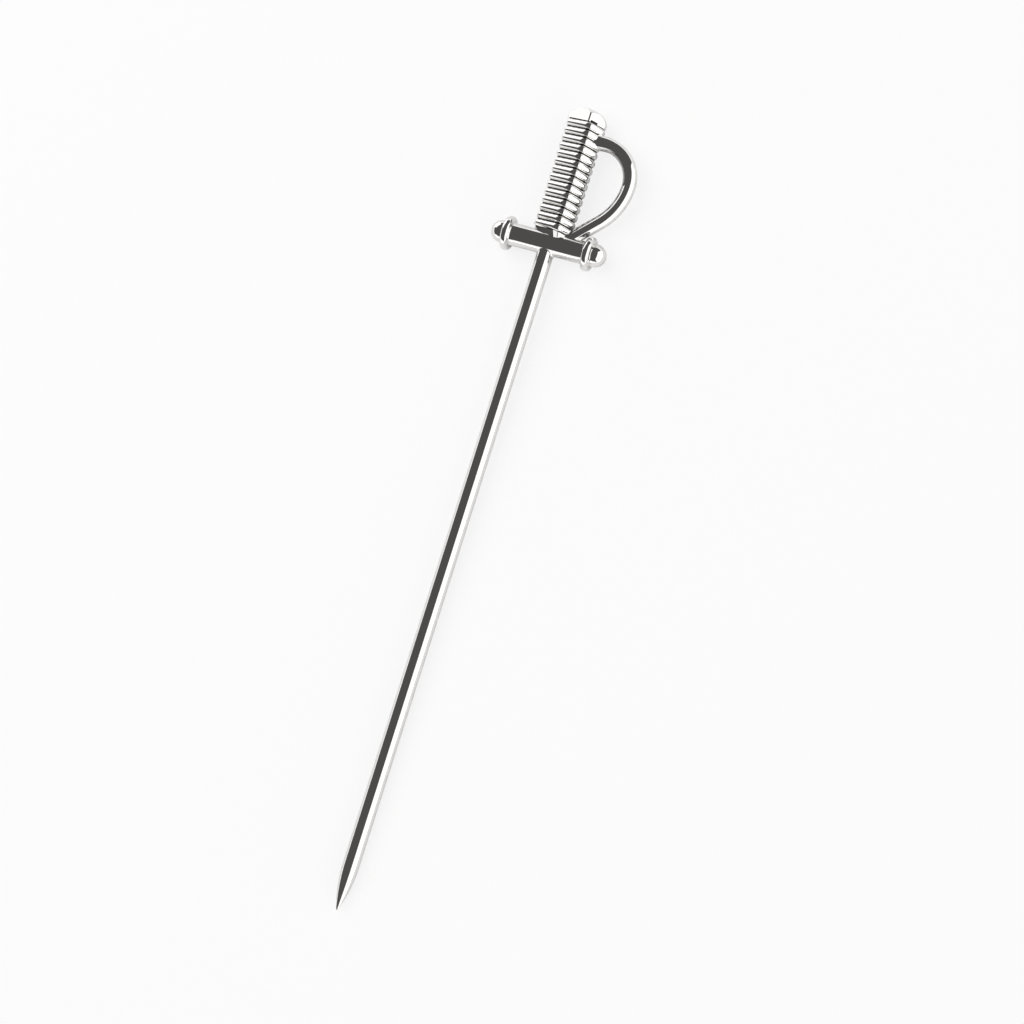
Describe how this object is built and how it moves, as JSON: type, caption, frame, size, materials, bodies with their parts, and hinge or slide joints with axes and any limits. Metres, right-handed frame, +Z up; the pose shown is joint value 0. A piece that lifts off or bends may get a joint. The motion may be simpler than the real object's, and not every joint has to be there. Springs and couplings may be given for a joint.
{
  "type": "cocktail pick",
  "caption": "Polished metal cocktail pick shaped like a small sword, with a pointed round blade, a collared guard, a ribbed grip, a domed pommel and a knuckle bow.",
  "frame": {"origin": "centre of the pick's box in X and Y, on the surface that it lies on", "axes": "+Y along the pick from the tip to the pommel, +X along the guard towards the knuckle bow, +Z up from the surface"},
  "size_m": [0.0176, 0.113, 0.0049],
  "materials": {
    "polished_metal": "polished"
  },
  "bodies": {
    "root": {"sword_pick": "polished_metal"}
  },
  "joints": []
}
